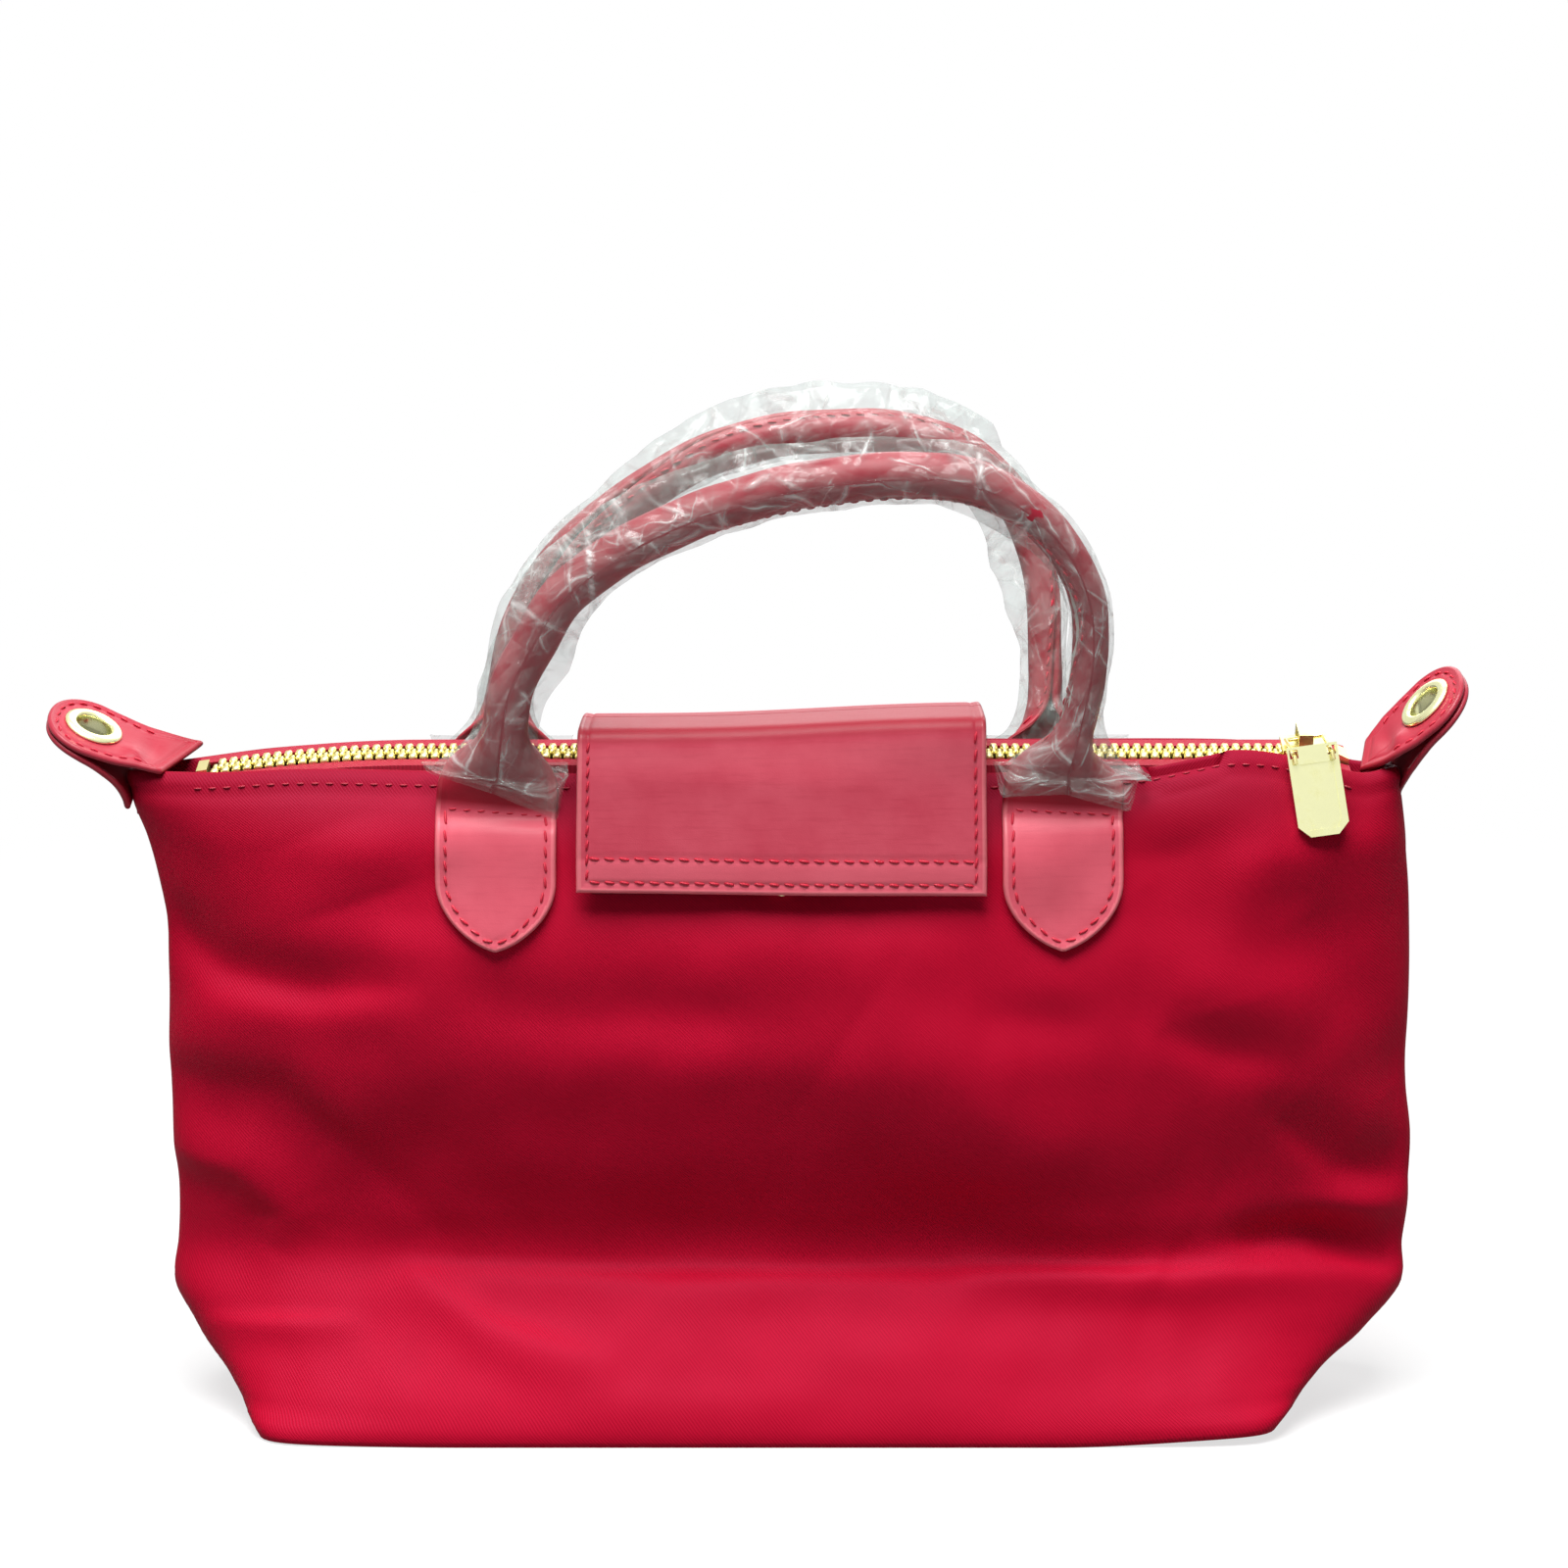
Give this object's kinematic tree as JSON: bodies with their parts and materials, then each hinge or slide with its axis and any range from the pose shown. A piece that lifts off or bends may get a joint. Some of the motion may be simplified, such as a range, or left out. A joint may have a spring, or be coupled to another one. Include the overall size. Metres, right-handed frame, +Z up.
{
  "type": "foldable tote bag",
  "caption": "Small folding nylon tote with a wide base, zip top, snap-down leather flap, paired rolled leather handles and eyeleted end tabs.",
  "frame": {"origin": "middle of the underside of the base", "axes": "+X along the bag's width to the viewer's right, -Y out of the front face, +Z up"},
  "size_m": [0.3201, 0.0804, 0.227],
  "materials": {
    "nylon": "crimson twill-woven nylon with a soft sheen",
    "leather": "smooth rose-red leather with painted edges and red stitching",
    "lining": "thin matt backing leather",
    "binding": "woven binding tape",
    "zip_tape": "woven zip tape",
    "gold": "polished pale gold plating",
    "cord_core": "raw cord filling",
    "film": "clear crinkled protective film"
  },
  "bodies": {
    "bag_body": {"front_panel": "nylon", "back_panel": "nylon", "base_panel": "nylon", "left_seam_binding": "binding", "right_seam_binding": "binding", "left_base_binding": "binding", "right_base_binding": "binding", "front_zip_tape": "zip_tape", "back_zip_tape": "zip_tape", "front_zip_teeth": "gold", "back_zip_teeth": "gold", "zip_left_stop": "gold", "zip_right_stop": "gold", "front_left_handle_tab": "leather", "front_right_handle_tab": "leather", "back_left_handle_tab": "leather", "back_right_handle_tab": "leather", "front_left_backing_patch": "lining", "front_right_backing_patch": "lining", "back_left_backing_patch": "lining", "back_right_backing_patch": "lining", "flap_anchor": "leather", "snap_stud": "gold", "snap_backing_washer": "gold", "left_ear_root": "leather", "right_ear_root": "leather"},
    "front_handle_loop": {"front_handle": "leather", "front_handle_core": "cord_core", "front_handle_film": "film"},
    "back_handle_loop": {"back_handle": "leather", "back_handle_core": "cord_core", "back_handle_film": "film"},
    "flap_over_zip": {"flap_top": "leather"},
    "flap_leaf": {"flap_front": "leather", "flap_lining": "lining", "snap_socket": "gold"},
    "slider": {"zip_slider": "gold"},
    "pull": {"zip_pull_bail": "gold", "zip_pull_plate": "gold"},
    "left_ear": {"left_ear_upper_layer": "leather", "left_ear_lower_layer": "leather", "left_eyelet": "gold", "left_eyelet_washer": "gold"},
    "right_ear": {"right_ear_upper_layer": "leather", "right_ear_lower_layer": "leather", "right_eyelet": "gold", "right_eyelet_washer": "gold"}
  },
  "joints": [
    {"name": "front_handle_swing", "type": "hinge", "parent": "bag_body", "child": "front_handle_loop", "pos_m": [0, -0.01639, 0.1403], "axis": [1, 0, 0], "range_deg": [-13, 128]},
    {"name": "back_handle_swing", "type": "hinge", "parent": "bag_body", "child": "back_handle_loop", "pos_m": [0, 0.01864, 0.1403], "axis": [-1, 0, 0], "range_deg": [-13, 135]},
    {"name": "flap_hinge", "type": "hinge", "parent": "bag_body", "child": "flap_over_zip", "pos_m": [0, 0.00962, 0.1542], "axis": [-1, 0, 0], "range_deg": [0, 70]},
    {"name": "flap_fold", "type": "hinge", "parent": "flap_over_zip", "child": "flap_leaf", "pos_m": [0, -0.0205, 0.1586], "axis": [-1, 0, 0], "range_deg": [0, 150]},
    {"name": "zip_slide", "type": "slide", "parent": "bag_body", "child": "slider", "axis": [-1, 0, 0], "range_m": [0, 0.03]},
    {"name": "zip_pull_swing", "type": "hinge", "parent": "slider", "child": "pull", "pos_m": [0.1175, -0.00118, 0.15385], "axis": [-1, 0, 0], "range_deg": [0, 150]},
    {"name": "left_ear_bend", "type": "hinge", "parent": "bag_body", "child": "left_ear", "pos_m": [-0.1472, 0, 0.1509], "axis": [0, 0.9563, 0.2924], "range_deg": [-30, 40]},
    {"name": "right_ear_bend", "type": "hinge", "parent": "bag_body", "child": "right_ear", "pos_m": [0.1385, 0, 0.1538], "axis": [0, -0.9563, -0.2924], "range_deg": [-60, 15]}
  ]
}
